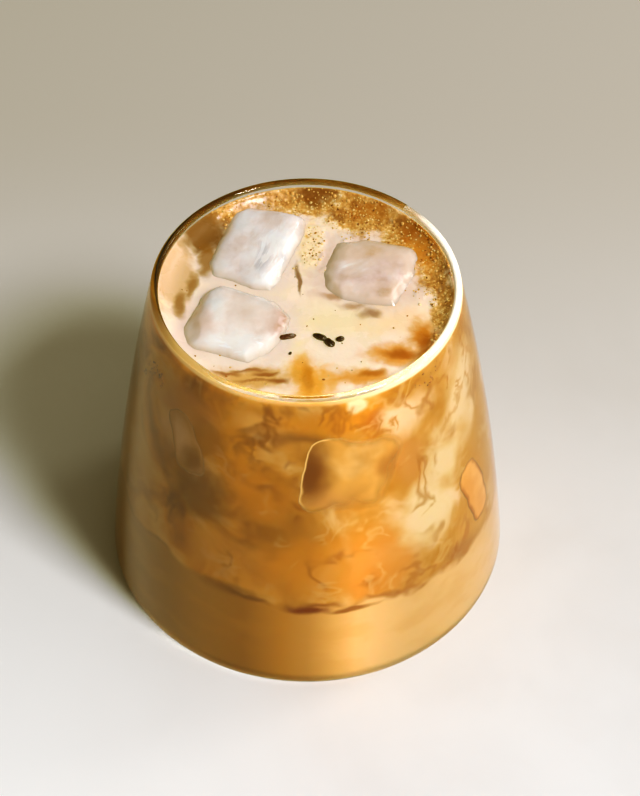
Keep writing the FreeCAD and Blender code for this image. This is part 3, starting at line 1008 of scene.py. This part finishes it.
def sunk_ice(name):
    """Clear ice full of tea colour, seen through the glass, with painted light along part of its outline:
    a painted highlight where the outline is pale, painted shade where it is dark.
    """
    body, pale, outline, edge, marks = SUNK_LOOKS[name]
    material, tree, shader = new_material(name.replace("_", " "))
    place = tree.place()
    wavy = tree.stirred(place, 3, 7)
    torn = tree.swing(tree.noise(place, 5, 4, 0.6), 0.7)
    colour = tree.mix(tree.between(tree.noise(wavy, 8, 3), 0.4, 0.62), body, pale)
    colour = blots(tree, colour, wavy, torn, marks)
    pressed = tree.attribute("pressed")
    band = tree.times(tree.between(pressed, 0.3, 0.5), tree.between(pressed, 1, 0.6))
    sharp = tree.group(SOFT_PATCH, Place=place, Centre=edge, Size=SUNK_EDGE, Edge=0.6,
                       Torn=tree.swing(tree.noise(place, 7, 2), 0.8))
    # Painted light: the outline colour laid along the sharp part of the cube's edge.
    colour = tree.mix(tree.times(band, sharp), colour, outline)
    reach = tree.between(sharp, 0, 1, 2.2, 0.5)
    worn = tree.plus(pressed, tree.swing(tree.noise(place, 6, 3), 1.2))
    faded = tree.times(tree.between(worn, 0, reach), tree.between(pressed, 0.3, 0.65), 0.92)
    tree.fill(shader, Base_Color=colour, Alpha=faded, Roughness=0.4, Specular_IOR_Level=0)
    return material


# ---- froth, spice and seeds

def copies(bm, shape, matrices):
    """Adds a copy of a small shape for each matrix: the shape is (places, faces as indices)."""
    places, faces = shape
    for matrix in matrices:
        verts = [bm.verts.new(matrix @ place) for place in places]
        for face in faces:
            bm.faces.new([verts[k] for k in face])


def ball_shape(subdivisions, bottom=None):
    """A small ball, cut off at its bottom height if one is given, as places and faces."""
    ball = bmesh.new()
    bmesh.ops.create_icosphere(ball, subdivisions=subdivisions, radius=1)
    if bottom is not None:
        bmesh.ops.bisect_plane(ball, geom=ball.verts[:] + ball.edges[:] + ball.faces[:], dist=1e-6,
                               plane_co=(0, 0, bottom), plane_no=(0, 0, -1), clear_outer=True)
    ball.verts.index_update()
    shape = [v.co.copy() for v in ball.verts], [[v.index for v in f.verts] for f in ball.faces]
    ball.free()
    return shape


def top_height(tree, east, north):
    """The height of a finished shape's top at a place, or None outside it."""
    hit = tree.ray_cast(at(east, north, 100), Vector((0, 0, -1)))
    return hit[0].z / MM if hit[0] else None


def over_ice(cubes, east, north):
    """Whether ice stands above the drink's surface at a place."""
    tops = [top_height(tree, east, north) for tree in cubes]
    return any(top is not None and top > SURFACE + 0.3 for top in tops)


def scatter(dice, tries, wanted):
    """Seeded places over the surface, kept with the chance that wanted gives."""
    limit = wall_radius(SURFACE, WALL) - 0.3
    for _ in range(tries):
        east, north = dice.uniform(-limit, limit), dice.uniform(-limit, limit)
        if hypot(east, north) < limit and dice.random() < wanted(east, north):
            yield east, north


BUBBLE_TRIES = 7500
BUBBLE_RADIUS = (0.18, 0.34)  # the least, and how much more at most
BUBBLE_SUNK = (0.45, 0.8)  # how far it stands in the drink, as a share of its radius
DOME_BOTTOM = -0.3
BUBBLE_APART = 0.85  # how near two bubbles may stand, as a share of their radii together
SPICE_TRIES = 9000
STRAY = 0.004  # the chance of a bubble or a fleck away from the froth


def make_bubbles(drink_tree, cubes, material):
    """Bubbles of the froth: small domes half sunk in the surface, none inside another."""
    dice = random.Random(SEED)
    spots = []
    taken = []
    for east, north in scatter(dice, BUBBLE_TRIES, lambda e, n: froth_at(e, n) + STRAY):
        radius = BUBBLE_RADIUS[0] + BUBBLE_RADIUS[1] * dice.random() ** 2
        if any(hypot(east - e, north - n) < BUBBLE_APART * (radius + r) for e, n, r in taken):
            continue
        if over_ice(cubes, east, north):
            continue
        taken.append((east, north, radius))
        height = top_height(drink_tree, east, north) - radius * dice.uniform(*BUBBLE_SUNK)
        spots.append(Matrix.Translation(at(east, north, height)) @ Matrix.Scale(radius * MM, 4))
    bm = bmesh.new()
    copies(bm, ball_shape(2, DOME_BOTTOM), spots)
    return to_piece(bm, "froth_bubbles", [material])


# Where spice clings to the drink's side: angle round from the front, height, spread, count.
SPECK_CLUSTERS = [(-66, 70.5, 1.6, 22), (-61, 71.5, 1.2, 14), (-72, 66, 1, 10),
                  (50, 77, 2.4, 14)]
WET_GRAINS = 1.7  # how much larger grains look where they lie wet against the glass
GRAIN = (0.24, 0.17, 0.11)  # a middling grain's reach each way
SPICE_CHANCE = 0.14  # of a fleck in the thick of the froth
FULL_TURN = 6.28


def make_spice(drink_tree, cubes, material):
    """Flecks of ground spice on the froth, and a few against the glass."""
    dice = random.Random(SEED + 1)
    spots = []
    for east, north in scatter(dice, SPICE_TRIES,
                               lambda e, n: SPICE_CHANCE * froth_at(e, n) ** 2 + STRAY):
        if over_ice(cubes, east, north):
            continue
        height = top_height(drink_tree, east, north) + 0.08
        spots.append((Vector((east, north, height)), dice.uniform(0, FULL_TURN)))
    for angle, middle, spread, count in SPECK_CLUSTERS:
        for _ in range(count):
            height = middle + dice.gauss(0, 0.6 * spread)
            reach = wall_radius(height, WALL - BITE - 0.02)
            around = radians(angle - 90) + dice.gauss(0, spread) / reach
            spots.append((round_axis(reach, around, height), None))
    matrices = []
    for place, bearing in spots:
        size = 0.55 + 0.9 * dice.random() ** 2
        if bearing is None:
            size *= WET_GRAINS
            bearing = atan2(place.y, place.x)
        sizes = Vector(GRAIN) * size * MM
        turned = Euler([dice.uniform(-0.5, 0.5), dice.uniform(-0.5, 0.5), bearing]).to_matrix().to_4x4()
        matrices.append(Matrix.Translation(place * MM) @ turned @ Matrix.Diagonal((*sizes, 1)))
    bm = bmesh.new()
    copies(bm, ball_shape(1), matrices)
    return to_piece(bm, "ground_spice", [material], smooth=False)


SEEDS = [
    # name, east, north, length, width, bearing in degrees
    ("seed_long", 3.1, -11.3, 3.1, 1.5, -28),
    ("seed_beside", 5, -13, 2.5, 1.7, -46),
    ("seed_round", 7.2, -11.8, 1.7, 1.3, 15),
    ("seed_tiny", -3.2, -15.8, 0.8, 0.6, 60),
]
HUSK = ("husk_at_ice", -3.7, -11.2, 3.7, 1.3, 12)


def make_seed(shape, drink_tree, material):
    name, east, north, length, width, bearing = shape
    bm = bmesh.new()
    bmesh.ops.create_icosphere(bm, subdivisions=4, radius=1)
    for vert in bm.verts:
        ridges = 1 + 0.07 * sin(5 * atan2(vert.co.y, vert.co.z) + 2 * vert.co.x)
        rough = 1 + 0.10 * noise.noise(vert.co * 2.3 + Vector((east, north, 0)))
        vert.co *= ridges * rough
        vert.co.x *= 1 - 0.12 * vert.co.x
    sizes = Vector((length / 2, width / 2, width * 0.42)) * MM
    height = top_height(drink_tree, east, north) + width * 0.12
    place = Matrix.Translation(at(east, north, height))
    turned = Matrix.Rotation(radians(bearing), 4, "Z")
    bmesh.ops.transform(bm, verts=bm.verts[:], matrix=place @ turned @ Matrix.Diagonal((*sizes, 1)))
    return to_piece(bm, name, [material])


# ---- build

glass_material = clear_glass()
bm = bmesh.new()
spin_profile(bm, tumbler_profile(), TURNS)
add_piece(to_piece(bm, "tumbler_glass", [glass_material]), "glass", "tumbler")

add_piece(make_painted_rim_highlight(rim_highlight_film()), "chai")

ICE_LOOKS = {
    "ice_back_left": {
        "core": (246, 236, 233), "shade": (230, 214, 206), "light": (252, 248, 246),
        "grain": 70, "highlight_and_cracks": (-6.5, 11.5, 80), "highlight_and_cracks_size": (6, 9, 6), "film": 0.5,
        "stain": (238, 218, 200), "marks": [
            ((-9.2, 10, 80), (1.2, 4.5, 6), 0.7, (188, 190, 200), 0.85),
            ((-4.4, 9, 80), (0.8, 4.5, 6), 0.7, (184, 182, 186), 0.8),
            # Painted shadow along the cube's right edge.
            ((-0.6, 13, 79), (1.3, 7, 6), 0.7, (182, 162, 146), 0.85),
        ]},
    "ice_front_left": {
        "core": (248, 236, 229), "shade": (237, 219, 209), "light": (252, 246, 242),
        "grain": -6, "highlight_and_cracks": (-13.5, -15, 80), "highlight_and_cracks_size": (7, 3, 6), "film": 0.6,
        "stain": (240, 221, 202), "marks": [
            ((-3.8, -8.4, 80), (2.8, 5, 6), 0.7, (190, 146, 128), 0.9),
            ((-12, -6, 80), (5, 4, 6), 0.8, (230, 216, 202), 0.5),
            ((-22, -8, 80), (2.4, 7, 6), 0.6, (222, 196, 182), 0.7),
        ]},
    "ice_right": {
        "core": (238, 217, 211), "shade": (218, 190, 178), "light": (248, 235, 228),
        "grain": 20, "highlight_and_cracks": (10, 8, 80), "highlight_and_cracks_size": (3, 2, 6), "film": 2.1,
        "stain": (238, 215, 198), "marks": [
            ((20, 0, 79), (4, 4, 6), 0.6, (190, 152, 118), 0.7),
            ((12, 13, 79), (8, 3, 6), 0.6, (214, 176, 140), 0.7),
        ]},
}
cube_trees = []
for number, (node, look) in enumerate(ICE_LOOKS.items()):
    cube = make_cube(node, number)
    cube_trees.append(BVHTree.FromBMesh(cube))
    add_piece(to_piece(cube, node + "_melted", [cloudy_ice(node.replace("_", " "), look)]), "ice", node)

for number, (name, shape) in enumerate(SUNK_ICE.items()):
    add_piece(to_piece(make_sunk(shape, 50 + number), name, [sunk_ice(name)]), "ice")

drink = make_drink(cube_trees, [drink_side(), drink_top()])
add_piece(drink, "chai", "chai")

bm = bmesh.new()
bm.from_mesh(drink.data)
drink_tree = BVHTree.FromBMesh(bm)
bm.free()
add_piece(make_bubbles(drink_tree, cube_trees, bubble_film()), "chai")
add_piece(make_spice(drink_tree, cube_trees, ground_spice()), "chai")
seed_material = dark_seed("cardamom seed", (22, 12, 8), (48, 28, 18), (84, 56, 36))
for shape in SEEDS:
    add_piece(make_seed(shape, drink_tree, seed_material), "chai")
husk_material = dark_seed("soaked husk", (48, 24, 20), (86, 48, 40), (122, 78, 64))
add_piece(make_seed(HUSK, drink_tree, husk_material), "chai")


# ---- floor, light and camera

def make_floor():
    bm = bmesh.new()
    bmesh.ops.create_grid(bm, x_segments=2, y_segments=2, size=3)
    to_piece(bm, "floor", [pale_floor()])


LAMP_AIM = (0, 0, 45)
LAMP_COLOUR = (1, 0.98, 0.95)
LAMPS = [
    # name, the way to it, metres away, size in metres, watts
    ("key", (0.50, -0.42, 0.76), 1.5, (0.38, 0.38), 24.5),
    ("window", (0.70, 0.36, 0.61), 0.9, (0.2, 0.4), 1),
]


def add_lamp(name, towards, distance, size, power):
    """A soft light that looks at the glass from a direction."""
    lamp = bpy.data.lights.new(name, "AREA")
    lamp.shape = "RECTANGLE"
    lamp.size, lamp.size_y = size
    lamp.energy = power
    lamp.color = LAMP_COLOUR
    holder = new_object(name, lamp)
    direction = Vector(towards).normalized()
    holder.location = Vector(LAMP_AIM) * MM + direction * distance
    holder.rotation_euler = (-direction).to_track_quat("-Z", "Y").to_euler()


LENS = 113.35
CAMERA_HEIGHT_ANGLE = 48.03  # degrees above the level
CAMERA_DISTANCE = 550
CAMERA_AIM = (2.916, 0, 46.36)


def make_camera():
    lens = bpy.data.cameras.new("camera")
    lens.lens = LENS
    lens.sensor_width = 36
    holder = new_object("camera", lens)
    angle = radians(CAMERA_HEIGHT_ANGLE)
    back = Vector((0, -cos(angle), sin(angle)))
    holder.location = (Vector(CAMERA_AIM) + back * CAMERA_DISTANCE) * MM
    holder.rotation_euler = (pi / 2 - angle, 0, 0)
    bpy.context.scene.camera = holder


def grade_picture():
    """Plain colours, with the shadows made deeper and warmer."""
    settings = bpy.context.scene.view_settings
    settings.view_transform = "Standard"
    settings.use_curve_mapping = True
    bends = (  # points that the red, green and blue curves go through
        [(0.187, 0.158), (0.402, 0.366)],
        [(0.119, 0.085), (0.305, 0.262)],
        [(0.084, 0.026), (0.223, 0.115), (0.456, 0.390)],
    )
    for curve, points in zip(settings.curve_mapping.curves, bends):
        for point in points:
            curve.points.new(*point)
    settings.curve_mapping.update()


def make_world():
    """A dim room, lighter towards the window on the right."""
    world = bpy.data.worlds.new("studio")
    world.use_nodes = True
    tree = Tree(world.node_tree)
    background = world.node_tree.nodes["Background"]
    towards = tree.node("ShaderNodeTexCoord").outputs["Generated"]
    side = tree.between(tree.part(towards, "X"), -0.5, 1)
    tree.fill(background, Color=tree.mix(side, (84, 80, 76), (190, 186, 180)), Strength=1)
    bpy.context.scene.world = world


make_floor()
make_world()
for lamp in LAMPS:
    add_lamp(*lamp)
make_camera()
grade_picture()
